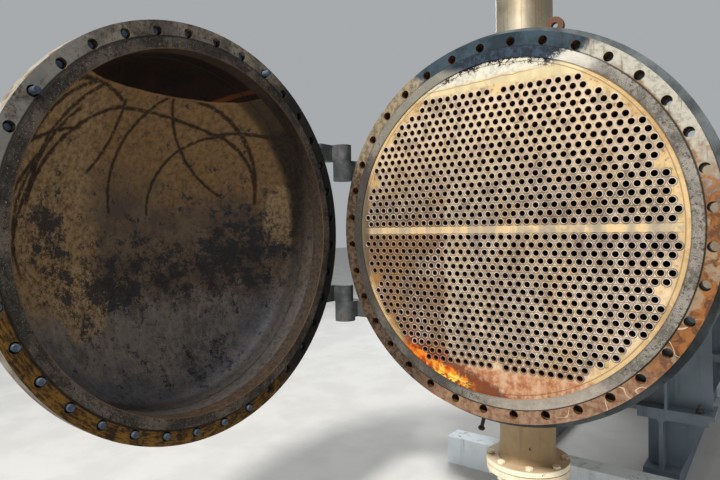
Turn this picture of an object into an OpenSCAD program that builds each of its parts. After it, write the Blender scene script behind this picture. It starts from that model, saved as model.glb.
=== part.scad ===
// Shell and tube heat exchanger, opened for cleaning: the dished front cover
// stands swung out on its two hinges and bares the tubesheet.
// The shell lies along Y with its open end towards -Y, +X is right, +Z is up.
// The origin is on the floor, under the middle of the front cross beam.

/* [Tube field] */
// Distance between neighbouring tubes, on equal triangles
tube_pitch = 40; // [38:0.5:44]
// Outer diameter of a tube
tube_od = 32; // [28:0.5:34]
// Wall of a tube
tube_wall = 2.8; // [2:0.1:5]
// Room between the drum's inner wall and the centres of the outermost tubes
field_edge = 30; // [24:1:80]
// Height of the strip that is left plain above and below the rows of tubes
plain_strip = 125; // [60:1:300]

/* [Shell] */
// Inner diameter of the drum: the shell, the channel and the cover
drum_bore = 1524; // [1400:2:1680]
// Wall of the shell
shell_wall = 13; // [10:1:20]
// Length from tubesheet face to tubesheet face
bundle_l = 4880; // [4600:20:5400]

/* [Flanges] */
// Width of the flanges and tubesheets outside the drum's bore
flange_reach = 110; // [100:1:130]
// Thickness of a tubesheet
tubesheet_t = 60; // [40:5:80]
// How far the flange behind a tubesheet stands out past its edge
back_lip = 30; // [10:1:40]
// Thickness of the flange behind a tubesheet
back_t = 65; // [50:5:80]
// Distance of the bolt circle from the flange's edge
bolt_inset = 39; // [30:1:42]
// Number of bolts, which straddle the centre lines
bolt_count = 36; // [24:4:40]
// Diameter of a bolt hole
bolt_hole = 40; // [24:0.5:42]
// Distance of the raised gasket ring's outer edge from the bolt circle
ring_room = 25; // [20:1:40]
// Height of the raised gasket ring
ring_h = 5; // [3:1:8]

/* [Cover] */
// Thickness of the cover flange and of the channel flange
cover_flange_t = 70; // [50:5:90]
// Depth from the cover's bolting face to the seam of its dished head
cover_l = 150; // [120:10:220]
// Inner depth of a dished head
head_depth = 381; // [300:1:420]
// Wall of the cover and of the channel
head_t = 14; // [10:1:20]
// Angle at which the cover stands open, from closed
cover_open = 89.4; // [60:0.1:120]
// Room for a gasket between the rings when the cover is closed
gasket_gap = 5; // [5:1:8]

/* [Hinges] */
// Distance of the hinge axis from the edge of the cover flange
hinge_room = 29; // [24:1:60]
// Distance of the hinge axis behind the tubesheet face
hinge_back = 19; // [10:1:30]
// Height of each hinge's joint above or below the shell axis
hinge_z = 385; // [350:1:420]
// Height of one knuckle
knuckle_h = 88; // [60:1:100]
// Outer radius of the cover's knuckle
cover_knuckle_r = 46; // [40:1:54]
// Outer radius of the vessel's knuckle
vessel_knuckle_r = 55; // [40:1:60]
// Diameter of a hinge pin
pin_d = 40; // [30:1:50]
// Running clearance round a hinge pin
pin_play = 0.5; // [0.3:0.1:1]
// Clearance between the two knuckles of a hinge
knuckle_play = 0.5; // [0.3:0.1:1]
// Thickness of the round plate at the lower end of a hinge pin
pin_plate_t = 20; // [12:1:26]

/* [Nozzles] */
// Outer diameter of a nozzle pipe
nozzle_od = 273; // [250:1:300]
// Wall of a nozzle pipe
nozzle_wall = 9.3; // [7:0.1:13]
// Distance of the shell nozzles from the tubesheet's face
nozzle_set = 360; // [340:5:420]
// Outer diameter of a nozzle flange
nozzle_flange_od = 406; // [400:1:440]
// Thickness of a nozzle flange
nozzle_flange_t = 30; // [24:1:40]
// Bolt circle of a nozzle flange
nozzle_circle = 362; // [358:1:372]
// Number of bolts in a nozzle flange
nozzle_bolts = 8; // [8:4:16]
// Diameter of a bolt hole in a nozzle flange
nozzle_hole = 25.4; // [22:0.2:28]
// Height of the raised face of the bottom nozzle's flange and of the flange bolted to it
nozzle_raise = 3; // [1:0.5:6]
// Height of the hub of a nozzle flange
nozzle_hub = 30; // [20:1:60]
// Height of the top nozzle's face above the shell axis
nozzle_top = 1300; // [1240:10:1400]
// Depth of the bottom nozzle's face below the shell axis
nozzle_bottom = 1180; // [1150:5:1220]

/* [Channel] */
// Length of the rear channel from its bolting face to the seam of its head
channel_l = 620; // [600:10:700]
// Distance of the channel nozzles from the channel's bolting face
channel_nozzle = 350; // [330:5:370]

/* [Supports] */
// Height of the shell axis above the floor
axis_h = 1600; // [1560:10:1700]
// Distance of the front cross beam's middle behind the tubesheet face
beam_back = 1075; // [1060:1:1140]
// Height of a cross beam
beam_h = 180; // [140:5:280]
// Depth of a cross beam along the shell
beam_d = 150; // [120:5:240]
// Length of a cross beam
beam_l = 1610; // [1500:10:1700]
// Wall of a cross beam and of a runner
beam_wall = 12; // [8:1:20]
// Height of a runner
runner_h = 90; // [80:5:110]
// Width of a runner
runner_w = 200; // [160:10:220]
// Distance of a saddle's middle behind the nearer tubesheet face
saddle_back = 1520; // [1480:10:1600]
// Length of a saddle's base plate
saddle_l = 1436; // [1400:2:1500]
// Depth of a saddle along the shell
saddle_d = 240; // [200:10:260]
// Thickness of a saddle's base plate
saddle_t = 25; // [16:1:30]
// Depth of the saddle's underside below the shell axis
saddle_drop = 1135; // [1130:5:1180]
// Thickness of the saddle's web, ribs and wear plate
saddle_web = 16; // [12:1:20]
// Angle of shell that the saddle holds
saddle_angle = 120; // [110:5:140]
// Distance of a pedestal's column from the end of the saddle's base plate
column_inset = 278; // [250:1:300]
// Half the width of a column's plate on its inner side
column_in = 88; // [70:1:100]
// Reach of the pedestal's plate on its outer side, at the cap
column_out = 235; // [200:1:240]
// Reach of the pedestal's plate on its outer side, at the foot
column_foot = 100; // [80:1:120]
// Thickness of the pedestal's plates
column_t = 24; // [16:1:32]
// Thickness of the pedestal's cap
cap_t = 40; // [25:1:50]

/* [Hidden] */
$fn = 144;
eps = 1;

shell_r = drum_bore / 2;
shell_out = shell_r + shell_wall;
nozzle_r = nozzle_od / 2;
// Room between the bolt holes and the raised face of a nozzle flange
raised_room = 6;
raised_od = nozzle_circle - nozzle_hole - 2 * raised_room;
flange_od = drum_bore + 2 * flange_reach;
back_od = flange_od + 2 * back_lip;
bolt_circle = flange_od - 2 * bolt_inset;
ring_od = bolt_circle - 2 * ring_room;
hinge_x = flange_od / 2 + hinge_room;
column_x = saddle_l / 2 - column_inset;
field_r = shell_r - field_edge;
row_h = tube_pitch * sqrt(3) / 2;
tube_rows = floor((shell_r - plain_strip) / row_h);
row_steps = ceil(field_r / tube_pitch);
tube_bore = tube_od - 2 * tube_wall;
face_y = -beam_back;
rear_face_y = face_y + bundle_l;
// Rows and places along them where a tie rod stands in for a tube
tie_rows = [18, 17, 7];
tie_places = [0, 10.5, 16.5];
// The cover's bolting face in its closed place, before the tubesheet face
cover_face = 2 * ring_h + gasket_gap;
// How far a hinge arm's edge is drawn in, and how far the cover's arm stays behind its bolting face
arm_taper = 30;
arm_set = 5;
// Places of a saddle's inner and outer ribs
rib_in = 155;
rib_out = column_x + 25;
// How far a pedestal's cap reaches past its plate, inside and outside, and its foot plate inside
cap_lip_in = 45;
cap_lip_out = 15;
foot_lip = 12;

blue_grey = "LightSteelBlue";
rust = "Sienna";
steel = "SlateGray";
beige = "Tan";
scale_tan = "BurlyWood";
dark_rust = "SaddleBrown";

// Places for the centre of every tube: rows at equal heights, none on the pass lane
function is_tie(row, place) =
    len([
        for (k = [0 : len(tie_rows) - 1])
            if (abs(row) == tie_rows[k] && abs(place) == tie_places[k]) k
    ]) > 0;
function row_shift(row) = abs(row) % 2 == 1 ? 0.5 : 0;
tube_places = [
    for (row = [-tube_rows : tube_rows])
        if (row != 0)
            for (step = [-row_steps : row_steps])
                let (place = step + row_shift(row), x = place * tube_pitch, z = row * row_h)
                    if (sqrt(x * x + z * z) <= field_r && !is_tie(row, place)) [x, z]
];

// A flat shape seen from the front becomes a slab from y to y + t on the shell axis
module slab(y, t) {
    translate([0, y + t, axis_h]) rotate([90, 0, 0]) linear_extrude(t) children();
}

// A half profile of [radius, length] turned about the shell axis, from y backwards
module turned(y) {
    translate([0, y, axis_h]) rotate([-90, 0, 0]) rotate_extrude() children();
}

module bolt_pattern(count, circle_d, hole_d) {
    for (k = [0 : count - 1]) {
        rotate((k + 0.5) * 360 / count) translate([circle_d / 2, 0]) circle(d = hole_d, $fn = 24);
    }
}

module tube_circles(d) {
    for (p = tube_places) {
        translate(p) circle(d = d, $fn = 20);
    }
}

module flange_outline(od, id) {
    difference() {
        circle(d = od);
        if (id > 0) circle(d = id);
        bolt_pattern(bolt_count, bolt_circle, bolt_hole);
    }
}

// The tubes are expanded flush into the tubesheet, so it is open at their bores
module tubesheet_outline() {
    difference() {
        circle(d = flange_od);
        bolt_pattern(bolt_count, bolt_circle, bolt_hole);
        tube_circles(tube_bore);
    }
}

// Inner and outer line of a dished head, half an ellipse turned about the axis
function ellipse_line(r, depth, seam) = [for (a = [0 : 5 : 90]) [r * cos(a), seam + depth * sin(a)]];

module head_profile(seam) {
    inner = ellipse_line(shell_r, head_depth, seam);
    outer = ellipse_line(shell_r + head_t, head_depth + head_t, seam);
    polygon(concat(inner, [for (k = [len(outer) - 1 : -1 : 0]) outer[k]]));
}

// Pieces of the cover are drawn closed, then swung open about the hinge axis
module swung() {
    translate([-hinge_x, face_y + hinge_back, 0])
        rotate([0, 0, -cover_open])
            translate([hinge_x, -face_y - hinge_back, 0])
                children();
}

module tubesheet() {
    color(scale_tan) slab(face_y, tubesheet_t) tubesheet_outline();
}

module face_ring() {
    color(steel) slab(face_y - ring_h, ring_h) difference() {
        circle(d = ring_od);
        circle(d = drum_bore);
    }
}

module shell_flange() {
    color(dark_rust) slab(face_y + tubesheet_t, back_t) flange_outline(back_od, drum_bore);
}

module rear_shell_flange() {
    color(dark_rust) slab(rear_face_y - tubesheet_t - back_t, back_t) flange_outline(back_od, drum_bore);
}

// The channel closes the rear tubesheet in, so only its bolt holes are drilled
module rear_tubesheet() {
    color(dark_rust) slab(rear_face_y - tubesheet_t, tubesheet_t) flange_outline(flange_od, 0);
}

module vertical_bore(y, r) {
    translate([0, y, axis_h - 2 * shell_r]) cylinder(r = r, h = 4 * shell_r);
}

module shell() {
    y0 = face_y + tubesheet_t + back_t;
    color(beige) difference() {
        slab(y0, bundle_l - 2 * (tubesheet_t + back_t)) difference() {
            circle(r = shell_out);
            circle(r = shell_r);
        }
        vertical_bore(face_y + nozzle_set, nozzle_r - nozzle_wall);
    }
}

module channel_flange() {
    color(dark_rust) slab(rear_face_y, cover_flange_t) flange_outline(flange_od, drum_bore);
}

module channel_barrel() {
    color(beige) difference() {
        slab(rear_face_y + cover_flange_t, channel_l - cover_flange_t) difference() {
            circle(r = shell_r + head_t);
            circle(r = shell_r);
        }
        vertical_bore(rear_face_y + channel_nozzle, nozzle_r - nozzle_wall);
    }
}

module channel_head() {
    color(beige) turned(rear_face_y) head_profile(channel_l);
}

// A welding neck flange, face upwards at z = 0, with the pipe's bore through it.
// The middle of its face stands up by face_raise, or the face is flat where that is 0.
module neck_flange(face_raise) {
    difference() {
        union() {
            translate([0, 0, -nozzle_flange_t])
                cylinder(d = nozzle_flange_od, h = nozzle_flange_t - face_raise);
            if (face_raise > 0) {
                translate([0, 0, -nozzle_flange_t]) cylinder(d = raised_od, h = nozzle_flange_t);
            }
            translate([0, 0, -nozzle_flange_t - nozzle_hub])
                cylinder(r1 = nozzle_r, r2 = nozzle_r + nozzle_hub / 3, h = nozzle_hub);
        }
        translate([0, 0, -nozzle_flange_t - nozzle_hub - eps])
            cylinder(r = nozzle_r - nozzle_wall, h = nozzle_flange_t + nozzle_hub + 2 * eps);
        for (k = [0 : nozzle_bolts - 1]) {
            rotate((k + 0.5) * 360 / nozzle_bolts)
                translate([nozzle_circle / 2, 0, -nozzle_flange_t - eps])
                    cylinder(d = nozzle_hole, h = nozzle_flange_t + 2 * eps, $fn = 24);
        }
    }
}

// A nozzle that stands on a drum of the given radius, its flange face at the given height
module nozzle(face_h, drum_r, face_raise) {
    seat = sqrt(drum_r * drum_r - nozzle_r * nozzle_r) - eps;
    neck_l = face_h - nozzle_flange_t - nozzle_hub;
    translate([0, 0, face_h]) neck_flange(face_raise);
    difference() {
        translate([0, 0, seat]) cylinder(r = nozzle_r, h = neck_l - seat);
        translate([0, 0, seat - eps]) cylinder(r = nozzle_r - nozzle_wall, h = neck_l - seat + 2 * eps);
        rotate([90, 0, 0]) cylinder(r = drum_r, h = 2 * nozzle_od, center = true);
    }
}

module shell_nozzle_top() {
    color(beige) translate([0, face_y + nozzle_set, axis_h]) nozzle(nozzle_top, shell_out, 0);
}

module shell_nozzle_bottom() {
    color(beige) translate([0, face_y + nozzle_set, axis_h]) mirror([0, 0, 1])
        nozzle(nozzle_bottom, shell_out, nozzle_raise);
}

module companion_flange() {
    color(beige) translate([0, face_y + nozzle_set, axis_h - nozzle_bottom])
        neck_flange(nozzle_raise);
}

module channel_nozzle_top() {
    color(beige) translate([0, rear_face_y + channel_nozzle, axis_h])
        nozzle(nozzle_bottom, shell_r + head_t, 0);
}

module channel_nozzle_bottom() {
    color(beige) translate([0, rear_face_y + channel_nozzle, axis_h]) mirror([0, 0, 1])
        nozzle(nozzle_bottom, shell_r + head_t, 0);
}

// The saddle's web: wide enough for its share of the shell, cut out round the wear plate
module saddle_outline(hold_r) {
    half = hold_r * sin(saddle_angle / 2);
    top = -hold_r * cos(saddle_angle / 2);
    difference() {
        polygon([
            [-half, top], [half, top], [saddle_l / 2 - saddle_web, saddle_t - saddle_drop],
            [saddle_web - saddle_l / 2, saddle_t - saddle_drop]
        ]);
        circle(r = hold_r);
    }
}

module saddle(y) {
    hold_r = shell_out + saddle_web;
    rib_h = saddle_drop - saddle_t;
    wedge_x = 2 * hold_r * sin(saddle_angle / 2);
    wedge_z = 2 * hold_r * cos(saddle_angle / 2);
    translate([0, y, axis_h]) {
        rotate([90, 0, 0]) linear_extrude(saddle_d, center = true) intersection() {
            difference() {
                circle(r = hold_r);
                circle(r = shell_out);
            }
            polygon([[0, 0], [-wedge_x, -wedge_z], [0, -3 * hold_r], [wedge_x, -wedge_z]]);
        }
        rotate([90, 0, 0]) linear_extrude(saddle_web, center = true) saddle_outline(hold_r);
        translate([-saddle_l / 2, -saddle_d / 2, -saddle_drop]) cube([saddle_l, saddle_d, saddle_t]);
        difference() {
            for (x = [-rib_out, -rib_in, rib_in, rib_out]) {
                translate([x - saddle_web / 2, -saddle_d / 2, -rib_h])
                    cube([saddle_web, saddle_d, rib_h - shell_r / 2]);
            }
            rotate([90, 0, 0]) cylinder(r = hold_r, h = 2 * saddle_d, center = true);
        }
    }
}

module saddle_front() {
    color(blue_grey) saddle(face_y + saddle_back);
}

module saddle_rear() {
    color(blue_grey) saddle(rear_face_y - saddle_back);
}

// A pedestal on the +X side: a tapered plate across the shell and a rib along it, under a cap
module pedestal(y) {
    top = axis_h - saddle_drop;
    foot_t = column_t;
    plate_h = top - cap_t - runner_h - foot_t;
    translate([column_x, y, 0]) {
        translate([-column_in - cap_lip_in, -saddle_d / 2, top - cap_t])
            cube([column_in + cap_lip_in + column_out + cap_lip_out, saddle_d, cap_t]);
        translate([-column_in - foot_lip, -saddle_d / 2, runner_h])
            cube([column_in + foot_lip + column_foot, saddle_d, foot_t]);
        translate([0, column_t / 2, runner_h + foot_t]) rotate([90, 0, 0]) linear_extrude(column_t)
            polygon([[-column_in, 0], [column_foot, 0], [column_out, plate_h], [-column_in, plate_h]]);
        translate([0, saddle_d / 2, runner_h + foot_t]) rotate([90, 0, 0]) linear_extrude(saddle_d)
            rib_outline(plate_h);
    }
}

// The rib seen from its end, with a fillet to each side under the cap
module rib_outline(rib_h) {
    fillet = column_t;
    translate([-column_t / 2, 0]) square([column_t, rib_h]);
    difference() {
        translate([-column_t / 2 - fillet, rib_h - fillet]) square([column_t + 2 * fillet, fillet]);
        for (s = [-1, 1]) {
            translate([s * (column_t / 2 + fillet), rib_h - fillet]) circle(r = fillet);
        }
    }
}

module pedestal_front_right() {
    color(blue_grey) pedestal(face_y + saddle_back);
}

module pedestal_front_left() {
    color(blue_grey) mirror([1, 0, 0]) pedestal(face_y + saddle_back);
}

module pedestal_rear_right() {
    color(blue_grey) pedestal(rear_face_y - saddle_back);
}

module pedestal_rear_left() {
    color(blue_grey) mirror([1, 0, 0]) pedestal(rear_face_y - saddle_back);
}

// A box beam across the shell, closed at both ends by plates
module cross_beam(y) {
    translate([-beam_l / 2, y - beam_d / 2, 0]) difference() {
        cube([beam_l, beam_d, beam_h]);
        translate([beam_wall, beam_wall, beam_wall])
            cube([beam_l - 2 * beam_wall, beam_d - 2 * beam_wall, beam_h - 2 * beam_wall]);
    }
}

module cross_beam_front() {
    color(blue_grey) cross_beam(0);
}

module cross_beam_rear() {
    color(blue_grey) cross_beam(bundle_l - 2 * beam_back);
}

// A box section from one cross beam to the other, the pedestals stand on it
module runner(x) {
    run_l = bundle_l - 2 * beam_back - beam_d;
    translate([x, beam_d / 2 + run_l, 0]) rotate([90, 0, 0]) linear_extrude(run_l) difference() {
        translate([-runner_w / 2, 0]) square([runner_w, runner_h]);
        translate([beam_wall - runner_w / 2, beam_wall])
            square([runner_w - 2 * beam_wall, runner_h - 2 * beam_wall]);
    }
}

module runner_left() {
    color(blue_grey) runner(-column_x);
}

module runner_right() {
    color(blue_grey) runner(column_x);
}

// The vessel's half of a hinge: a knuckle, its arm welded to the rim of the flange behind the tubesheet
module vessel_hinge(z) {
    arm_y = tubesheet_t;
    translate([0, face_y, axis_h + z - knuckle_h]) difference() {
        union() {
            translate([-hinge_x, hinge_back, 0]) cylinder(r = vessel_knuckle_r, h = knuckle_h);
            linear_extrude(knuckle_h) polygon([
                [-hinge_x - vessel_knuckle_r, hinge_back], [-hinge_x + vessel_knuckle_r, hinge_back],
                [-hinge_x + vessel_knuckle_r, arm_y], [-shell_r, arm_y], [-shell_r, arm_y + back_t],
                [arm_taper - hinge_x - vessel_knuckle_r, arm_y + back_t]
            ]);
        }
        translate([-hinge_x, hinge_back, -eps]) cylinder(d = pin_d, h = knuckle_h + 2 * eps);
        translate([0, arm_y - eps, knuckle_h - z]) rotate([-90, 0, 0])
            cylinder(d = back_od, h = back_t + 2 * eps);
    }
}

module vessel_hinge_upper() {
    color(steel) vessel_hinge(hinge_z);
}

module vessel_hinge_lower() {
    color(steel) vessel_hinge(-hinge_z);
}

// A pin on a round plate below the vessel's knuckle, up through the cover's knuckle
module hinge_pin(z) {
    translate([-hinge_x, face_y + hinge_back, axis_h + z]) {
        translate([0, 0, -knuckle_h]) cylinder(d = pin_d, h = 2 * knuckle_h + knuckle_play);
        translate([0, 0, -knuckle_h - pin_plate_t]) cylinder(r = vessel_knuckle_r, h = pin_plate_t);
    }
}

module hinge_pin_upper() {
    color(steel) hinge_pin(hinge_z);
}

module hinge_pin_lower() {
    color(steel) hinge_pin(-hinge_z);
}

module cover_flange() {
    color(rust) swung() slab(face_y - cover_face - cover_flange_t, cover_flange_t)
        flange_outline(flange_od, drum_bore);
}

module cover_ring() {
    color(steel) swung() slab(face_y - cover_face, ring_h) difference() {
        circle(d = ring_od);
        circle(d = drum_bore);
    }
}

module cover_barrel() {
    color(dark_rust) swung() slab(face_y - cover_face - cover_l, cover_l - cover_flange_t) difference() {
        circle(r = shell_r + head_t);
        circle(r = shell_r);
    }
}

module cover_head() {
    color(dark_rust) swung() translate([0, face_y - cover_face, axis_h]) rotate([90, 0, 0])
        rotate_extrude() head_profile(cover_l);
}

// The cover's half of a hinge: it rides on the vessel's knuckle, its arm is welded to the cover flange
module cover_hinge(z) {
    back = -cover_face - cover_flange_t;
    translate([0, face_y, axis_h + z + knuckle_play]) difference() {
        union() {
            translate([-hinge_x, hinge_back, 0]) cylinder(r = cover_knuckle_r, h = knuckle_h);
            linear_extrude(knuckle_h) polygon([
                [-hinge_x + cover_knuckle_r, hinge_back],
                [-hinge_x + cover_knuckle_r, -cover_face - arm_set],
                [-shell_r, -cover_face - arm_set], [-shell_r, back], [arm_taper - hinge_x, back],
                [-hinge_x - cover_knuckle_r, hinge_back]
            ]);
        }
        translate([-hinge_x, hinge_back, -eps])
            cylinder(d = pin_d + 2 * pin_play, h = knuckle_h + 2 * eps);
        translate([0, eps, -z - knuckle_play]) rotate([90, 0, 0])
            cylinder(d = flange_od, h = -back + 2 * eps);
    }
}

module cover_hinge_upper() {
    color(steel) swung() cover_hinge(hinge_z);
}

module cover_hinge_lower() {
    color(steel) swung() cover_hinge(-hinge_z);
}

tubesheet();
face_ring();
shell_flange();
shell();
rear_shell_flange();
rear_tubesheet();
channel_flange();
channel_barrel();
channel_head();
channel_nozzle_top();
channel_nozzle_bottom();
shell_nozzle_top();
shell_nozzle_bottom();
companion_flange();
saddle_front();
saddle_rear();
pedestal_front_left();
pedestal_front_right();
pedestal_rear_left();
pedestal_rear_right();
cross_beam_front();
cross_beam_rear();
runner_left();
runner_right();
vessel_hinge_upper();
vessel_hinge_lower();
hinge_pin_upper();
hinge_pin_lower();
cover_flange();
cover_ring();
cover_barrel();
cover_head();
cover_hinge_upper();
cover_hinge_lower();
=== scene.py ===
# %% [markdown]
# # A shell and tube heat exchanger, opened for cleaning
# A heat exchanger of this kind is a long drum full of thin tubes. Its round front plate, the tubesheet,
# holds the ends of the tubes, and a dished cover on two hinges closes it. Here the cover stands open.
# The solids come ready from the CAD model. This lesson gives them their metal, paint, scale and rust,
# and adds what is too small for the CAD model: tube ends, bolts, nuts and welds.

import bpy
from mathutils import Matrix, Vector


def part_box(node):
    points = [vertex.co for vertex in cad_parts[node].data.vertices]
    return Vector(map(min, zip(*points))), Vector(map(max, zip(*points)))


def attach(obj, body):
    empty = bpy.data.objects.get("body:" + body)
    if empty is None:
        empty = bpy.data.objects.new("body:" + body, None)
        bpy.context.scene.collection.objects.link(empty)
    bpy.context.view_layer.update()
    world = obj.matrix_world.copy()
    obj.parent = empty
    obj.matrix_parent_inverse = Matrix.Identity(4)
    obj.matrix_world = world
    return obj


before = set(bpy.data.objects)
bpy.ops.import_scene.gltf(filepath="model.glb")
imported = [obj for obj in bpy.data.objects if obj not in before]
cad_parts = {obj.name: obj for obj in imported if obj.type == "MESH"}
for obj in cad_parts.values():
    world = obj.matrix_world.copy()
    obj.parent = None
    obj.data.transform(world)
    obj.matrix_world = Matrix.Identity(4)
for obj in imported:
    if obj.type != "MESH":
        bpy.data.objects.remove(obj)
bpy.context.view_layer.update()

# %% [markdown]
# All lengths are in metres, in the frame of the CAD model. The drum lies along Y with its open end
# towards -Y. Places are read off the solids, so they stay right if a solid changes. What the solids
# can't tell, such as the pitch of the tubes, stands here once with its name.

# %% Values that every step shares
import math
import random

import bpy
from mathutils import Matrix, Vector

X, Y, Z = 0, 1, 2


def span(node, axis):
    """Where a solid begins and ends along an axis."""
    return [corner[axis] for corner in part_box(node)]


def centre(node, axis):
    return sum(span(node, axis)) / 2


# The front plate's face, the rear plate's back and the height of the drum's axis
FACE = span("tubesheet", Y)[0]
REAR = span("rear_tubesheet", Y)[1]
AXIS = centre("tubesheet", Z)
# The tubes: steps along a row and from row to row, rows on each side of the lane, the field's radius
PITCH = 0.040
ROW = PITCH * math.sqrt(3) / 2
ROWS = 18
FIELD_R = 0.732
# Tie rods sit in these places instead of tubes: row and place in the row, in all four quarters
TIES = {(18, 0), (17, 10.5), (7, 16.5)}
# The bore of the drum, and the circle and number of the bolts round it
DRUM_R = 0.762
BOLT_R = 0.833
BOLTS = 36
# The upright line that the cover turns about, seen from above, and how far it stands open
HINGE = (-0.901, FACE + 0.019)
OPEN = math.radians(89.4)
random.seed(7)
print("tubesheet face at y =", round(FACE, 4), "axis at z =", round(AXIS, 4))

# %% [markdown]
# ## The camera
# The camera stands a little to the right of the drum, at eye height, and looks left past its centre
# line. The place, the turn and the focal length were worked out from the rows of tubes, the bolt holes
# of the cover and the line of the hinges. Most of the tubes and of those holes fall within a pixel or
# two of where a picture of the real one has them. The holes of the front flange weren't used, and some
# at its right fall about five pixels off.

# %% Camera
YAW, TILT, ROLL = (math.radians(angle) for angle in (37.315, -1.114, -0.828))
EYE = (1.0297, FACE - 2.3697, AXIS + 0.0103)
LENS_MM, SENSOR_MM = 27.737, 36.0
forward = Vector((-math.sin(YAW) * math.cos(TILT), math.cos(YAW) * math.cos(TILT), math.sin(TILT)))
level = forward.cross(Vector((0, 0, 1))).normalized()
upward = level.cross(forward)
right = math.cos(ROLL) * level + math.sin(ROLL) * upward
up = math.cos(ROLL) * upward - math.sin(ROLL) * level
camera_data = bpy.data.cameras.new("camera")
camera_data.lens = LENS_MM
camera_data.sensor_width = SENSOR_MM
camera = bpy.data.objects.new("camera", camera_data)
turn = Matrix((right, up, -forward)).transposed().to_4x4()
camera.matrix_world = Matrix.Translation(EYE) @ turn
bpy.context.collection.objects.link(camera)
bpy.context.scene.camera = camera
print("camera looks along", [round(value, 3) for value in forward])

# %% [markdown]
# ## A way to write shader maths
# A material is a graph of nodes. Made one by one they are long to write, so a small class wraps an
# output socket and lets Python's own signs make the Math nodes. A second class holds one material
# and makes every other node. It also gives the place of each point in metres, as x, y and z.

# %% Wires and finishes
def plug(tree, socket, value):
    if isinstance(value, Wire):
        tree.links.new(value.socket, socket)
    else:
        socket.default_value = value


class Wire:
    """One output socket. Signs such as + and * add a Math node and give its output."""

    def __init__(self, socket):
        self.socket = socket
        self.tree = socket.id_data

    def math(self, operation, first, second=0.0):
        node = self.tree.nodes.new("ShaderNodeMath")
        node.operation = operation
        plug(self.tree, node.inputs[0], first)
        plug(self.tree, node.inputs[1], second)
        return Wire(node.outputs[0])

    def __add__(self, other):
        return self.math("ADD", self, other)

    def __sub__(self, other):
        return self.math("SUBTRACT", self, other)

    def __rsub__(self, other):
        return self.math("SUBTRACT", other, self)

    def __mul__(self, other):
        return self.math("MULTIPLY", self, other)

    def __truediv__(self, other):
        return self.math("DIVIDE", self, other)

    def __pow__(self, other):
        return self.math("POWER", self, other)

    def __gt__(self, other):
        return self.math("GREATER_THAN", self, other)

    def __lt__(self, other):
        return self.math("LESS_THAN", self, other)

    def __abs__(self):
        return self.math("ABSOLUTE", self)

    __radd__ = __add__
    __rmul__ = __mul__


class Finish:
    """One material: its shader, and one method that makes any other node."""

    def __init__(self, name, metallic=0.0, roughness=0.6):
        self.material = bpy.data.materials.new(name)
        self.material.use_nodes = True
        self.tree = self.material.node_tree
        self.shader = self.tree.nodes["Principled BSDF"]
        self.set("Metallic", metallic)
        self.set("Roughness", roughness)
        self.place = self.node("TexCoord", out="Object")
        self.x, self.y, self.z = (self.node("SeparateXYZ", sockets={0: self.place}, out=k) for k in range(3))

    def node(self, kind, settings=None, sockets=None, out=0):
        node = self.tree.nodes.new("ShaderNode" + kind)
        for key, value in (settings or {}).items():
            setattr(node, key, value)
        for key, value in (sockets or {}).items():
            plug(self.tree, node.inputs[key], value)
        return Wire(node.outputs[out])

    def set(self, socket, value):
        plug(self.tree, self.shader.inputs[socket], value)


print("shader helpers ready")

# %% [markdown]
# A few small recipes return in most finishes: a soft step between two values, a noise, a blend of two
# colours, a blend of two tints by a noise, and a bump. Noise that is squeezed along one direction gives
# runs and streaks. Colours are written as a picture shows them, and turned into linear ones once.

# %% Recipes
def tint(red, green, blue):
    """A colour as a picture shows it, 0 to 255, turned into the linear colour that shaders use."""
    linear = [((c / 255 + 0.055) / 1.055) ** 2.4 if c > 10 else c / 3294.6 for c in (red, green, blue)]
    return (*linear, 1)


def step(f, value, low, high):
    settings = {"interpolation_type": "SMOOTHSTEP"}
    return f.node("MapRange", settings, {"Value": value, "From Min": low, "From Max": high})


def noise(f, scale, detail=4.0, rough=0.6, stretch=None, place=None, bend=0.0):
    place = f.place if place is None else place
    if stretch:
        place = f.node("Mapping", None, {"Vector": place, "Scale": stretch})
    return f.node("TexNoise", None, {"Vector": place, "Scale": scale, "Detail": detail, "Roughness": rough,
                                     "Distortion": bend})


def blend(f, amount, under, over):
    return f.node("Mix", {"data_type": "RGBA"}, {0: amount, 6: under, 7: over}, out=2)


def two_tone(f, wave, low, high, first, second):
    """The first tint where a wave is low, the second where it is high."""
    return blend(f, step(f, wave, low, high), tint(*first), tint(*second))


def bump(f, height, distance):
    f.set("Normal", f.node("Bump", None, {"Distance": distance, "Height": height}))


def greater(f, first, second):
    return f.node("Math", {"operation": "MAXIMUM"}, {0: first, 1: second})


def angle_of(f, high, across):
    return f.node("Math", {"operation": "ARCTAN2"}, {0: high, 1: across})


def around(f, radius, angle, scale, along=0.035):
    """Noise drawn out along circles, as a lathe tool or a sliding gasket leaves it."""
    ring_place = f.node("CombineXYZ", None, {0: radius, 1: angle * along, 2: 0.0})
    return noise(f, scale, detail=5.0, rough=0.65, place=ring_place)


print("recipes ready")

# %% [markdown]
# ## The tubesheet
# Years of cooling water left a cream scale on the tubesheet, paler round the tube ends, browner at the
# lower left and rusty where water stood at the bottom. The same plate carries on outside the gasket
# ring as a bolting face with its own colours. One material does both: it measures how far each point
# is from the axis, and in which direction, and blends the colours by that.
#
# First it needs to know where the tubes are, because scale grows round them. Wrapped coordinates give
# the distance to the nearest tube in a few Math nodes, however many tubes there are.

# %% Masks round the tubes
CREVICE_R = 0.0177
TIE_R = 0.022


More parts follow.
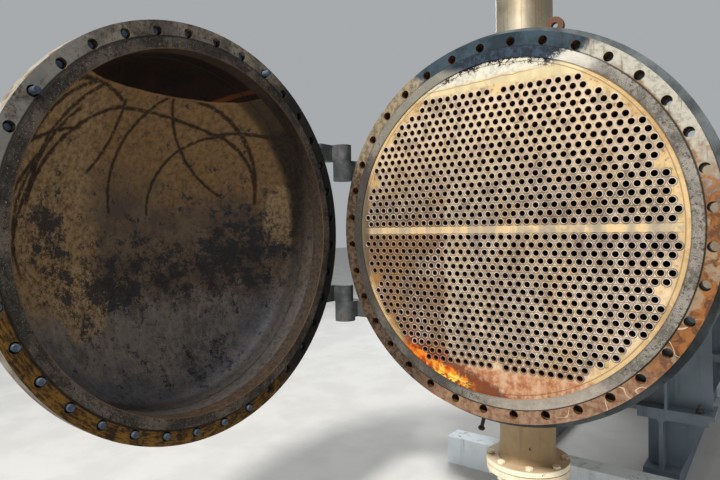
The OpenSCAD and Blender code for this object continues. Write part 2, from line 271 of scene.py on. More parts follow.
def near_tubes(f, across, high):
    """Masks for the crevice round each tube end and for the plate close to it. The triangular pattern is two
    square-cornered grids laid over each other, so the nearest tube is looked for in both."""
    crevice, close = None, None
    for shift_x, shift_z in ((0.0, 0.0), (PITCH / 2, ROW)):
        aside = f.node("Math", {"operation": "WRAP"}, {0: across + shift_x, 1: PITCH / 2, 2: -PITCH / 2})
        above = f.node("Math", {"operation": "WRAP"}, {0: high + shift_z, 1: ROW, 2: -ROW})
        middle_x, middle_z = across - aside, high - above
        there = (middle_x * middle_x + middle_z * middle_z < FIELD_R ** 2) * (abs(middle_z) > ROW / 2)
        there = there * (abs(middle_z) < (ROWS + 0.5) * ROW)
        reach = (aside * aside + above * above) ** 0.5
        line = step(f, abs(reach - CREVICE_R), 0.0026, 0.0008) * there
        halo = step(f, reach, 0.0215, 0.0175) * there
        crevice = line if crevice is None else greater(f, crevice, line)
        close = halo if close is None else greater(f, close, halo)
    open_plate = 1.0
    for row, place in TIES:
        aside, above = abs(across) - place * PITCH, abs(high) - row * ROW
        open_plate = (aside * aside + above * above > TIE_R ** 2) * open_plate
    return crevice * open_plate, close * open_plate


print("tubes are looked for every", PITCH, "m along and", round(ROW, 4), "m up")

# %% [markdown]
# Among the tubes the scale is cream and patchy, with a pale rim round each tube end and a dark crevice
# where tube and plate meet. To the left of a sharp upright line it has gone brown. Across the middle
# runs the pass lane. Each mark is one soft mask laid over the colours before it, as a painter works.

# %% Scale among the tubes
def field_scale(f, high, radius, notes):
    """The colours among the tubes and on the plain bands above and below them."""
    broad, fine, runs = notes
    crevice, close = near_tubes(f, f.x, high)
    in_field = step(f, radius, 0.745, 0.73)
    scale = two_tone(f, broad, 0.35, 0.65, (200, 172, 126), (170, 140, 96))
    scale = blend(f, step(f, fine, 0.52, 0.72) * 0.6, scale, tint(214, 198, 164))
    scale = blend(f, step(f, fine, 0.46, 0.36) * 0.7 * in_field, scale, tint(92, 72, 50))
    scale = blend(f, close * 0.8 * step(f, fine, 0.34, 0.5), scale, tint(224, 214, 200))
    smudge = step(f, runs, 0.46, 0.62) * step(f, high, 0.35, -0.05) * step(f, f.x, -0.3, -0.1) * in_field
    scale = blend(f, smudge * 0.5, scale, tint(126, 108, 102))
    washed = step(f, noise(f, 9.0, detail=4.0), 0.42, 0.6)
    washed = washed * step(f, high, 0.0, -0.2) * step(f, f.x, -0.3, -0.2)
    scale = blend(f, washed * 0.5 * in_field, scale, tint(222, 200, 172))
    soot = step(f, noise(f, 12.0, detail=5.0), 0.5, 0.64) * step(f, high, -0.1, 0.1) * in_field
    scale = blend(f, soot * 0.55, scale, tint(84, 76, 66))

    brown_side = step(f, f.x + (fine - 0.5) * 0.03, -0.255, -0.27) * step(f, high, 0.42, -0.05) * in_field
    scale = blend(f, brown_side * 0.75, scale, two_tone(f, runs, 0.4, 0.6, (126, 86, 46), (86, 58, 34)))
    orange_cloud = noise(f, 7.0, stretch=(1, 1, 0.5))
    orange_side = brown_side * step(f, orange_cloud, 0.46, 0.62) * step(f, high, 0.06, -0.06)
    scale = blend(f, orange_side * 0.7, scale, tint(164, 84, 36))

    # The pass lane, where the partition of the cover pressed, is smooth and pale
    lane = step(f, abs(high), 0.0185, 0.0155) * in_field
    lane_tone = two_tone(f, runs, 0.45, 0.6, (206, 180, 138), (170, 154, 130))
    worn = step(f, noise(f, 15.0, detail=5.0), 0.44, 0.62)
    lane_tone = blend(f, step(f, f.x, 0.02, 0.12) * worn * 0.8, lane_tone, tint(140, 136, 122))
    scale = blend(f, lane * 0.9, scale, lane_tone)
    lane_edge = step(f, abs(abs(high) - 0.0175), 0.0022, 0.0008) * in_field
    scale = blend(f, lane_edge * 0.5, scale, tint(112, 90, 62))
    strong = 0.35 + 0.55 * step(f, high, 0.5, 0.1)
    return blend(f, crevice * step(f, broad * 0.4 + fine * 0.6, 0.34, 0.48) * strong, scale, tint(44, 32, 24))


print("scale among the tubes: one function of the height and of the distance from the axis")

# %% [markdown]
# Above the tubes is a smooth pale band, cleaner above a level line. At its very top, next to the
# ring, it is dark slate blue, which is painted shade, with black specks along its lower edge. Below
# the tubes water stood and left rust, brightest along the lower left edge of the tubes. That streak is
# a straight band whose edge a strong noise eats into, so it looks like flames. Painted by hand it
# would look as good but could not be told in a few lines.

# %% Plain bands and rust
STREAK = (-0.468, -0.578)
STREAK_TURN = math.radians(-24.64)


def upper_band(f, scale, high, radius, notes):
    broad, fine, runs = notes
    top = step(f, high + (broad - 0.5) * 0.06, 0.635, 0.655)
    level = high + f.x * -0.045 + (runs - 0.5) * 0.02
    smooth = two_tone(f, runs, 0.4, 0.6, (186, 172, 138), (206, 190, 150))
    clean = two_tone(f, fine, 0.4, 0.6, (206, 202, 186), (176, 174, 164))
    smooth = blend(f, step(f, level + (fine - 0.5) * 0.05, 0.676, 0.700), smooth, clean)
    scale = blend(f, top * 0.9, scale, smooth)
    seam = step(f, abs(level - 0.682), 0.004, 0.001) * step(f, f.x, 0.25, 0.1)
    scale = blend(f, seam * 0.75, scale, tint(150, 118, 70))
    # Painted shade: next to the ring the top of the band is dark slate blue, with black specks along its
    # lower edge.
    ragged_noise = noise(f, 34.0, detail=7.0, rough=0.8)
    shade_edge_x = f.x + (ragged_noise - 0.5) * 0.3
    shaded_span = step(f, shade_edge_x, 0.31, 0.24) * step(f, shade_edge_x, -0.30, -0.20)
    band_top_shade = step(f, radius + (ragged_noise - 0.5) * 0.12, 0.750, 0.756) * shaded_span
    scale = blend(f, band_top_shade, scale, two_tone(f, fine, 0.4, 0.6, (30, 40, 52), (44, 54, 66)))
    crowded = ragged_noise + step(f, radius, 0.700, 0.757) * 0.12
    specks = step(f, crowded, 0.61, 0.64) * step(f, radius, 0.722, 0.735) * shaded_span
    return blend(f, specks, scale, tint(26, 28, 30))


def lower_band(f, scale, high, notes):
    broad, fine, runs = notes
    foot = step(f, high + (broad - 0.5) * 0.06, -0.625, -0.655)
    rust_tone = two_tone(f, fine, 0.38, 0.62, (150, 92, 58), (186, 140, 108))
    rust_tone = blend(f, step(f, runs, 0.5, 0.62) * 0.6, rust_tone, tint(208, 176, 146))
    return blend(f, foot * 0.92, scale, rust_tone)


def fresh_rust(f, scale, high, fine):
    """Measured along the streak from its upper left end, and aside from its middle line."""
    east, north = f.x - STREAK[0], high - STREAK[1]
    along = east * math.cos(STREAK_TURN) + north * math.sin(STREAK_TURN)
    aside = north * math.cos(STREAK_TURN) - east * math.sin(STREAK_TURN)
    flames = noise(f, 44.0, detail=7.0, rough=0.72)
    ragged = (flames - 0.5) * 0.14
    stain = step(f, abs(aside + ragged * 0.8 + 0.004), 0.085, 0.05)
    stain = stain * step(f, along, -0.08, 0.0) * step(f, along, 0.64, 0.5)
    scale = blend(f, stain * 0.85, scale, two_tone(f, fine, 0.4, 0.6, (118, 46, 20), (72, 34, 20)))
    streak = step(f, abs(aside + ragged + 0.012), 0.036, 0.02)
    streak = streak * step(f, along, -0.06, 0.02) * step(f, along, 0.45, 0.3)
    fresh = two_tone(f, noise(f, 30.0, detail=5.0), 0.42, 0.56, (170, 54, 10), (226, 126, 26))
    bright = step(f, flames, 0.47, 0.57) * step(f, along, 0.10, 0.24) * step(f, along, 0.40, 0.34)
    fresh = blend(f, bright, fresh, tint(238, 208, 90))
    return blend(f, streak * 0.95, scale, fresh)


print("the streak of fresh rust falls by", round(math.degrees(-STREAK_TURN), 1), "degrees")

# %% [markdown]
# Outside the gasket ring the plate is a bolting face: slate blue at the top, cream and brown to the
# right, rosy brown below, tan and then dark on the left, with a few strokes of chalk. The slate blue at
# the top and the dark on the left are painted shade, and a dark line at the foot of the ring is a painted
# shadow. The masks are written in the direction from the axis: upright is 1 at the top and -1 at the
# bottom, and across is 1 at the right.

# %% Bolting face
RING_EDGE = 0.8095


def bolting_face(f, radius, across, upright, notes):
    broad, fine, _ = notes
    mottled = noise(f, 26.0, detail=5.0, bend=0.6)
    face = two_tone(f, fine, 0.45, 0.7, (170, 165, 152), (130, 126, 116))
    brown = two_tone(f, mottled, 0.42, 0.58, (138, 88, 48), (88, 60, 42))
    face = blend(f, step(f, upright + (mottled - 0.5) * 0.7, 0.42, 0.10), face, brown)
    seep = step(f, radius + (mottled - 0.5) * 0.05, 0.826, 0.812) * step(f, upright, 0.86, 0.7)
    face = blend(f, seep * 0.8, face, tint(116, 84, 52))
    grey_patch = step(f, noise(f, 9.0, detail=4.0), 0.54, 0.60) * step(f, upright, 0.4, 0.1)
    face = blend(f, grey_patch * 0.7, face, tint(146, 130, 108))
    bottom = two_tone(f, fine, 0.35, 0.62, (112, 78, 58), (146, 118, 96))
    face = blend(f, step(f, upright, -0.55, -0.8), face, bottom)
    left_high = two_tone(f, fine, 0.4, 0.6, (142, 128, 106), (106, 93, 74))
    # Painted shade: on the left, below the tan, the face is dark.
    left_shade = two_tone(f, fine, 0.4, 0.6, (92, 74, 58), (52, 42, 36))
    left_tone = blend(f, step(f, upright + (mottled - 0.5) * 0.2, 0.48, 0.30), left_high, left_shade)
    face = blend(f, step(f, across, -0.3, -0.55), face, left_tone)
    # Painted shade: slate blue at the top of the bolting face.
    slate = two_tone(f, broad * 0.6 + fine * 0.4, 0.4, 0.6, (32, 44, 52), (52, 66, 76))
    face_top_shade = step(f, upright + (fine - 0.5) * 0.1, 0.42, 0.60)
    face_top_shade = face_top_shade * step(f, across + (mottled - 0.5) * 0.3, 0.52, 0.42)
    face_top_shade = face_top_shade * step(f, across + (mottled - 0.5) * 0.2, -0.51, -0.44)
    face = blend(f, face_top_shade, face, slate)
    drip = step(f, noise(f, 30.0, detail=3.0, stretch=(1, 1, 0.12)), 0.56, 0.68) * step(f, across, 0.2, 0.5)
    face = blend(f, drip * 0.6, face, tint(84, 62, 44))
    # Strokes of chalk: the line where a slow noise crosses its middle, kept in a few places
    stroke = step(f, abs(noise(f, 9.0, detail=0.0, bend=1.2) - 0.5), 0.016, 0.006)
    chalk = stroke * step(f, noise(f, 4.0, detail=0.0), 0.42, 0.5)
    chalk = chalk * step(f, upright, -0.05, -0.2) * step(f, across, 0.25, 0.4)
    face = blend(f, chalk * 0.75, face, tint(206, 186, 158))
    # Painted shadow: a dark line where the ring meets the face.
    return blend(f, step(f, abs(radius - RING_EDGE), 0.005, 0.001) * 0.85, face, tint(34, 28, 25))


print("bolting face: from radius", RING_EDGE, "outwards")

# %% [markdown]
# Now the parts come together in one material. Three noises are shared by all of them, so that a patch
# that is browner is also rougher. Inside a bore, just behind the face, the steel is rusty.

# %% Tubesheet finish
def tubesheet_finish():
    f = Finish("tubesheet_scale", metallic=0.0, roughness=0.8)
    high = f.z - AXIS
    radius = (f.x * f.x + high * high) ** 0.5
    fine = noise(f, 38.0, detail=6.0, rough=0.7)
    grit = noise(f, 160.0, detail=4.0, rough=0.7)
    notes = (noise(f, 5.0, detail=3.0), fine, noise(f, 15.0, detail=4.0, stretch=(1.0, 1.0, 0.22)))
    scale = field_scale(f, high, radius, notes)
    scale = upper_band(f, scale, high, radius, notes)
    scale = lower_band(f, scale, high, notes)
    scale = fresh_rust(f, scale, high, fine)
    rim_line = step(f, abs(radius + (fine - 0.5) * 0.004 - 0.744), 0.0035, 0.001)
    scale = blend(f, rim_line * 0.6, scale, tint(104, 74, 46))
    # Painted shade: the plate darkens towards its left edge.
    left_rim_shade = step(f, f.x + (fine - 0.5) * 0.04, -0.69, -0.725)
    scale = blend(f, left_rim_shade * 0.85, scale, tint(80, 72, 64))
    face = bolting_face(f, radius, f.x / radius, high / radius, notes)
    colour = blend(f, step(f, radius, 0.78, 0.785), scale, face)
    colour = blend(f, step(f, grit, 0.60, 0.74) * 0.5, colour, tint(72, 58, 44))
    inside = step(f, f.y, FACE + 0.0012, FACE + 0.0025)
    colour = blend(f, inside, colour, two_tone(f, fine, 0.4, 0.6, (112, 76, 46), (62, 44, 28)))
    f.set("Base Color", colour)
    f.set("Roughness", 0.62 + 0.3 * fine)
    f.set("Specular IOR Level", 0.15)
    bump(f, fine * 0.7 + grit * 0.35, 0.0026)
    return f.material


tubesheet_metal = tubesheet_finish()
print("tubesheet finish:", len(tubesheet_metal.node_tree.nodes), "nodes")

# %% [markdown]
# The gasket ring stands proud of the plate. A gasket was pressed on it, so it is grey and fine, with
# marks that run round it. A dark line along the outer edge of either ring is a painted shadow. The ring
# on the cover is darker, with specks of old gasket stuck to it. One function makes both, and the front
# one gets its stains and its painted light on top: painted shade at the top and on the left, and a
# painted highlight at the bottom. It picks up the colour that already feeds the shader and blends on
# from there.

# %% Gasket ring finishes
def ring_finish(name, dark, light, centre, flat_axis, speck):
    f = Finish(name, metallic=0.2, roughness=0.6)
    high = f.z - AXIS
    flat = (f.x if flat_axis == "x" else f.y) - centre
    radius = (flat * flat + high * high) ** 0.5
    lathe = around(f, radius, angle_of(f, high, flat), 260.0)
    cloud = noise(f, 9.0, detail=5.0)
    fine = noise(f, 70.0, detail=5.0, rough=0.7)
    grit = noise(f, 230.0, detail=4.0, rough=0.75)
    colour = blend(f, step(f, cloud + (lathe - 0.5) * 0.3 + (grit - 0.5) * 0.9, 0.38, 0.64), dark, light)
    colour = blend(f, step(f, fine * 0.5 + grit * 0.5, 0.525, 0.565) * 0.9, colour, speck)
    pale_grain = step(f, noise(f, 150.0, detail=3.0, rough=0.8), 0.60, 0.68)
    colour = blend(f, pale_grain * 0.35, colour, tint(196, 190, 180))
    inner = step(f, radius + (fine - 0.5) * 0.006, 0.7685, 0.7655)
    colour = blend(f, inner * 0.6, colour, tint(92, 70, 50))
    # Painted shadow: a dark line along the outer edge of the ring.
    outer_shadow_line = step(f, radius + (fine - 0.5) * 0.004, 0.8045, 0.807)
    colour = blend(f, outer_shadow_line * 0.85, colour, tint(38, 32, 28))
    f.set("Base Color", colour)
    f.set("Roughness", 0.5 + 0.3 * fine)
    f.set("Specular IOR Level", 0.2)
    bump(f, lathe * 0.3 + grit * 0.6 + fine * 0.5, 0.0024)
    return f


def front_ring_finish():
    f = ring_finish("gasket_ring", tint(92, 88, 82), tint(142, 136, 126), 0.0, "x", tint(58, 52, 46))
    base = Wire(f.shader.inputs["Base Color"].links[0].from_socket)
    high = f.z - AXIS
    # Painted shade: the ring is darker at its left edge.
    left_edge_shade = step(f, f.x, -0.70, -0.735)
    base = blend(f, left_edge_shade * 0.5, base, tint(60, 54, 50))
    silver = step(f, high + f.x * -0.2 + (noise(f, 25.0) - 0.5) * 0.1, 0.50, 0.64) * step(f, f.x, 0.52, 0.38)
    silver_tone = two_tone(f, f.x, -0.3, 0.3, (130, 126, 116), (208, 203, 192))
    base = blend(f, silver * 0.75, base, silver_tone)
    # Painted shade: the middle of the ring's left side is darker.
    left = step(f, f.x, -0.58, -0.70) * step(f, high, -0.6, -0.4) * step(f, high, 0.45, 0.3)
    base = blend(f, left * 0.75, base, tint(62, 58, 54))
    low_left = step(f, high, -0.35, -0.55) * step(f, f.x, -0.12, -0.3)
    base = blend(f, low_left * 0.6, base, tint(58, 56, 52))
    # Painted highlight: the bottom of the ring is paler.
    low_pale_highlight = step(f, high, -0.55, -0.7) * step(f, f.x, -0.12, 0.05)
    base = blend(f, low_pale_highlight * 0.5, base, tint(186, 174, 160))
    # Painted shade: the top of the ring is dark slate blue.
    ragged_noise = noise(f, 34.0, detail=7.0, rough=0.8)
    shade = step(f, f.x + (0.75 - high) * 2.0 + (ragged_noise - 0.5) * 0.4, 0.36, 0.28)
    shade = shade * step(f, high + f.x * 0.12, 0.70, 0.74) * step(f, f.x + (ragged_noise - 0.5) * 0.2, -0.36, -0.20)
    base = blend(f, shade, base, two_tone(f, ragged_noise, 0.45, 0.58, (26, 35, 45), (48, 61, 76)))
    f.set("Base Color", base)
    return f.material


ring_metal = front_ring_finish()
# Seen from the hinge, the axis of the open cover lies as far forward as the drum's lies to the right
opened_middle = HINGE[1] + HINGE[0]
cover_ring_metal = ring_finish("cover_gasket_ring", tint(44, 40, 37), tint(90, 82, 73), opened_middle, "y",
                               tint(22, 21, 22)).material
print("ring finishes ready")

# %% [markdown]
# ## Plain steel, rust and paint
# Most other pieces wear one of three finishes: forged steel gone brown, chalky paint, or bare pipe.
# Each is a function of a few colours, so one recipe dresses many pieces without looking the same.

# %% Steel and paint finishes
def steel_finish(name, dark, light, rust, rust_share, metallic=0.3, roughness=0.6, size=1.0):
    f = Finish(name, metallic=metallic, roughness=roughness)
    cloud = noise(f, 6.0 * size, detail=5.0)
    fine = noise(f, 55.0 * size, detail=6.0, rough=0.7)
    streaks = noise(f, 14.0 * size, detail=4.0, stretch=(1, 1, 0.2))
    colour = blend(f, step(f, cloud, 0.35, 0.65), dark, light)
    low, high = 0.72 - 0.4 * rust_share, 0.82 - 0.4 * rust_share
    rusty = step(f, cloud * 0.5 + fine * 0.3 + streaks * 0.2, low, high)
    colour = blend(f, rusty, colour, blend(f, step(f, fine, 0.4, 0.6), rust, tint(88, 50, 30)))
    colour = blend(f, step(f, fine, 0.62, 0.75) * 0.4, colour, tint(28, 24, 22))
    f.set("Base Color", colour)
    f.set("Roughness", 0.5 + 0.35 * fine)
    bump(f, fine + cloud * 0.5, 0.0014)
    return f.material


def paint_finish(name, fresh, dull, dirt, rust_share=0.25, lit_tone_below=None):
    """The paint can turn paler below a height: a height and a paler colour, a painted sunlit tone."""
    f = Finish(name, metallic=0.0)
    cloud = noise(f, 3.0, detail=5.0)
    fine = noise(f, 60.0, detail=5.0, rough=0.65)
    chips = noise(f, 24.0, detail=8.0, rough=0.72)
    runs = noise(f, 20.0, detail=4.0, stretch=(1, 1, 0.09))
    colour = blend(f, step(f, cloud, 0.35, 0.65), fresh, dull)
    colour = blend(f, step(f, runs, 0.52, 0.72) * 0.55, colour, dirt)
    if lit_tone_below:
        colour = blend(f, step(f, f.z, lit_tone_below[0], lit_tone_below[0] - 0.01), colour, lit_tone_below[1])
    low = 0.72 - 0.16 * rust_share
    chipped = step(f, chips + (cloud - 0.5) * 0.35, low, low + 0.02)
    halo = step(f, chips + (cloud - 0.5) * 0.35, low - 0.05, low + 0.01)
    colour = blend(f, halo * 0.5, colour, tint(150, 112, 78))
    colour = blend(f, chipped, colour, two_tone(f, fine, 0.4, 0.6, (120, 66, 36), (70, 42, 28)))
    f.set("Base Color", colour)
    f.set("Roughness", 0.42 + 0.25 * fine + 0.25 * chipped)
    bump(f, fine * 0.4 - chipped * 0.6, 0.0012)
    return f.material


forged = steel_finish("forged_flange", tint(54, 60, 64), tint(98, 106, 108), tint(112, 82, 56), 0.35)
rear_forged = steel_finish("rear_flange", tint(74, 66, 56), tint(104, 92, 76), tint(132, 82, 50), 0.6)
# The hinge steel's tones are darker than the bare steel shows in light: partly painted shade.
hinge_steel = steel_finish("hinge_steel", tint(60, 64, 65), tint(92, 97, 98), tint(92, 62, 44), 0.45,
                           metallic=0.45, size=2.0)
bolt_steel = steel_finish("bolt_steel", tint(70, 68, 66), tint(110, 106, 100), tint(120, 74, 44), 0.45,
                          metallic=0.5, size=4.0)
drum_paint = paint_finish("drum_paint", tint(206, 186, 150), tint(184, 160, 122), tint(122, 98, 72), 0.35)
# Painted light and shade: below the pipe's flange the nozzle's paint is paler, as if sunlit, and the pipe
# above is browner, partly painted shade.
nozzle_paint = paint_finish("nozzle_paint", tint(190, 164, 124), tint(160, 132, 94), tint(104, 80, 54), 0.35,
                            (AXIS - 1.147, tint(250, 236, 208)))
# Painted light: the flanges' paint is paler than the drum's, as if sunlit.
sunlit_flange_paint = paint_finish("sunlit_flange_paint", tint(250, 236, 208), tint(226, 208, 174), tint(150, 122, 88), 0.3)
# Painted light: the beams' paint is whiter than the blue-grey it shares with the supports.
sunlit_beam_paint = paint_finish("sunlit_beam_paint", tint(240, 248, 250), tint(222, 232, 238), tint(150, 154, 152), 0.3)
# Painted shade: the supports have the beams' pale blue-grey paint, darkened.
shaded_support_paint = paint_finish("shaded_support_paint", tint(116, 130, 142), tint(94, 108, 120), tint(70, 74, 76), 0.3)
print("shared finishes ready")

# %% [markdown]
# ## Inside the cover
# The dish is tan at the top, black and blue where the water stood, and crossed by dark trails that
# something dragged over the scale left behind. The trails are arcs of circles, so each is one ring of
# which only a wedge is kept. Above a level line the dish has stayed dark brown.
# The material turns each point back to where it lies with the cover closed, so the arcs can be
# written in plain front view coordinates: metres to the right of and above the axis.

# %% Cover coordinates
COVER_FACE = FACE - 0.015
COVER_FLANGE_T = 0.070
BARREL_END = 0.150
DISH_DEPTH = 0.388
WALL_MIDDLE = 0.769


def closed_place(f):
    """Metres to the right of the axis, above it, and behind the cover's face, with the cover closed."""
    east, north = f.x - HINGE[0], f.y - HINGE[1]
    across = math.cos(OPEN) * east - math.sin(OPEN) * north + HINGE[0]
    depth = (COVER_FACE - HINGE[1]) - (math.sin(OPEN) * east + math.cos(OPEN) * north)
    return across, f.z - AXIS, depth


# Each trail is an arc: its centre across and up, its radius, and where it starts and ends in degrees
TRAILS = (
    (-0.110, 0.110, 0.647, 8, 60), (0.164, 0.273, 0.390, 14, 76), (-0.054, -0.007, 0.613, 12, 72),
    (0.054, -0.651, 1.224, 84, 111), (-0.461, 0.213, 0.306, 68, 116), (0.052, -0.033, 0.823, 138, 158),
    (0.656, 0.625, 0.523, -178, -138), (-0.407, 0.195, 0.562, -10, 58), (-0.133, 0.180, 0.473, 80, 176),
    (-0.819, 0.843, 0.752, -60, -12), (-0.434, 0.118, 0.385, -4, 86), (-0.250, 0.166, 0.358, 106, 182),
    (-0.085, 0.032, 0.672, 152, 186), (0.167, -0.256, 0.733, 58, 78), (-0.090, 0.060, 0.640, 6, 48),
    (0.100, 0.000, 0.505, -20, 40), (-0.220, -0.010, 0.560, 150, 205), (0.010, 0.020, 0.700, 10, 52),
    (0.060, -0.080, 0.600, 0, 46), (-0.180, -0.160, 0.800, 2, 40), (0.300, 0.340, 0.300, 20, 120),
)


def trail_mask(f, across, high, ragged, width):
    total = None
    for east, north, radius, start, end in TRAILS:
        dx, dz = across - east, high - north
        reach = (dx * dx + dz * dz) ** 0.5
        line = step(f, abs(reach + (ragged - 0.5) * 0.018 - radius), width, width * 0.3)
        middle, half = math.radians((start + end) / 2), math.radians((end - start) / 2)
        facing = (dx * math.cos(middle) + dz * math.sin(middle)) / reach
        line = line * step(f, facing, math.cos(half + 0.03), math.cos(half - 0.03))
        total = line if total is None else greater(f, total, line)
    return total


print("trails inside the cover:", len(TRAILS))

# %% [markdown]
# The black deposit crowds together in a few ovals. Each oval adds a little to a noise before one sharp
# step cuts it, so the specks grow together where the deposit is thick. Outside, the same two solids
# are painted: an ellipsoid halfway through the wall tells inside from outside.

# %% Dish finish
# Where the deposit crowds: the middle of an oval, its half width and height, and how much it adds
CROWDS = (
    ((-0.56, -0.08), (0.34, 0.42), 0.15),
    ((-0.10, -0.20), (0.66, 0.26), 0.15),
    ((0.45, 0.02), (0.17, 0.34), 0.16),
    ((0.28, -0.26), (0.30, 0.20), 0.08),
    ((-0.10, 0.12), (0.60, 0.40), 0.03),
    ((-0.20, -0.64), (0.55, 0.16), 0.07),
)


def spot(f, across, high, middle, size):
    """1 at the middle of an oval, falling to 0 at its edge."""
    aside, above = (across - middle[0]) / size[0], (high - middle[1]) / size[1]
    return step(f, (aside * aside + above * above) ** 0.5, 1.0, 0.0)


def dish_finish():
    f = Finish("cover_dish", metallic=0.0, roughness=0.75)
    across, high, depth = closed_place(f)
    radius = (across * across + high * high) ** 0.5
    broad = noise(f, 2.6, detail=4.0)
    patchy = noise(f, 7.0, detail=7.0, rough=0.68)
    fine = noise(f, 45.0, detail=6.0, rough=0.7)
    grit = noise(f, 190.0, detail=3.0)

    # Tan at the top and on the left, greyer in the middle, grey with swept arcs at the bottom. The tan on
    # the left is partly painted light.
    colour = two_tone(f, fine, 0.35, 0.65, (132, 104, 70), (104, 82, 56))
    middle = step(f, high + across * -0.2 + (broad - 0.5) * 0.5, 0.34, 0.08)
    colour = blend(f, middle, colour, two_tone(f, patchy, 0.4, 0.6, (104, 88, 72), (80, 68, 60)))
    # Partly painted light: the tan on the left is paler.
    tan_left_and_light = step(f, across + (patchy - 0.5) * 0.4, 0.16, 0.32) * step(f, high, -0.50, -0.36)
    colour = blend(f, tan_left_and_light, colour, two_tone(f, fine, 0.4, 0.6, (146, 122, 90), (114, 92, 66)))
    swept = noise(f, 46.0, detail=6.0, rough=0.7, stretch=(0.9, 0.9, 0.22), bend=0.9)
    bowl = two_tone(f, patchy, 0.42, 0.58, (112, 104, 98), (86, 82, 80))
    bowl = blend(f, step(f, swept, 0.44, 0.62) * 0.45, bowl, tint(136, 130, 124))
    bowl = blend(f, step(f, radius + (patchy - 0.5) * 0.3, 0.60, 0.72) * 0.55, bowl, tint(64, 74, 88))
    low_part = step(f, high + (patchy - 0.5) * 0.3, -0.24, -0.42)
    colour = blend(f, low_part * 0.95, colour, bowl)
    pale_right = spot(f, across, high, (0.31, -0.30), (0.20, 0.24))
    pale_left = spot(f, across, high, (-0.72, 0.10), (0.10, 0.26))
    pale = step(f, greater(f, pale_right, pale_left) + (patchy - 0.5) * 0.8, 0.20, 0.34)
    colour = blend(f, pale * 0.75, colour, two_tone(f, fine, 0.4, 0.6, (160, 136, 104), (128, 106, 78)))

    # Black deposit in specks that crowd together where it is thick
    crowd = sum(spot(f, across, high, middle, size) * share for middle, size, share in CROWDS)
    soot = (noise(f, 13.0, detail=9.0, rough=0.80) - 0.5) * 1.3 + 0.5 + crowd
    black = two_tone(f, fine, 0.42, 0.60, (28, 30, 35), (52, 58, 68))
    colour = blend(f, step(f, soot, 0.605, 0.635) * 0.88, colour, black)
    speckle = step(f, grit * 0.5 + fine * 0.5 + crowd * 0.4, 0.55, 0.60)
    speckle = speckle * (0.25 + 0.5 * step(f, high, 0.25, -0.05))
    colour = blend(f, speckle, colour, tint(42, 34, 28))

    ragged = noise(f, 26.0, detail=5.0, rough=0.7)
    trails = trail_mask(f, across, high, ragged, 0.0115)
    trails = trails * step(f, high, -0.32, -0.05) * step(f, fine * 0.6 + grit * 0.4, 0.36, 0.46)
    colour = blend(f, trails * 0.9, colour, tint(36, 27, 21))
    # Seen deep in its own shade the dish needs all of it a little paler
    colour = f.node("VectorMath", {"operation": "SCALE"}, {0: colour, "Scale": 1.22})

    # Above the level line it stayed dark. The line has a pale lip, and the weld inside shows as a seam
    tide = high + (noise(f, 12.0, detail=3.0) - 0.5) * 0.012
    above = step(f, tide, 0.648, 0.653)
    sooty = two_tone(f, patchy, 0.4, 0.62, (30, 11, 4), (11, 4, 2))
    smear = step(f, abs(across * 0.55 + high - 0.49), 0.02, 0.006) * step(f, across, -0.16, -0.24)
    sooty = blend(f, smear * 0.6, sooty, tint(116, 64, 30))
    colour = blend(f, above, colour, sooty)
    lip_line = step(f, abs(tide - 0.648), 0.006, 0.002)
    colour = blend(f, lip_line * 0.6, colour, tint(150, 112, 72))
    seam = step(f, abs(depth - BARREL_END + (fine - 0.5) * 0.006), 0.006, 0.002)
    seam = seam * step(f, radius, 0.74, 0.755)
    colour = blend(f, seam * 0.8, colour, tint(30, 24, 20))
    wall = step(f, radius, 0.742, 0.757) * (1.0 - above * 0.85)
    colour = blend(f, wall * 0.8, colour, two_tone(f, fine, 0.42, 0.56, (36, 33, 31), (66, 58, 50)))

    # Outside the dish the same pieces are painted
    bulge = greater(f, depth - BARREL_END, 0.0) / DISH_DEPTH
    shape = radius * radius / WALL_MIDDLE ** 2 + bulge * bulge
    outside = step(f, shape, 0.995, 1.0)
    runs = noise(f, 16.0, detail=4.0, stretch=(1, 1, 0.12))
    paint = blend(f, step(f, runs, 0.5, 0.7) * 0.6, tint(196, 176, 142), tint(128, 102, 74))
    chips = step(f, noise(f, 22.0, detail=8.0, rough=0.72) + (broad - 0.5) * 0.3, 0.63, 0.65)
    paint = blend(f, chips, paint, tint(112, 64, 36))
    colour = blend(f, outside, colour, paint)
    f.set("Base Color", colour)
    f.set("Roughness", 0.6 + 0.35 * fine)
    f.set("Specular IOR Level", 0.25)
    bump(f, fine * 0.6 + grit * 0.2 + patchy * 0.4, 0.0022)
    return f.material


dish_metal = dish_finish()
print("dish finish:", len(dish_metal.node_tree.nodes), "nodes")

# %% [markdown]
# The cover's flange faces the viewer like a second plate. Its face is grey above, ochre and dark below
# and nearly black towards the hinges, which is painted shade, and its rim and the holes through it
# have tones of their own. On the hinge side the rim is painted dark as shade too.
# Depth behind the face tells the rim from the face, and the distance to the bolt circle finds the holes.

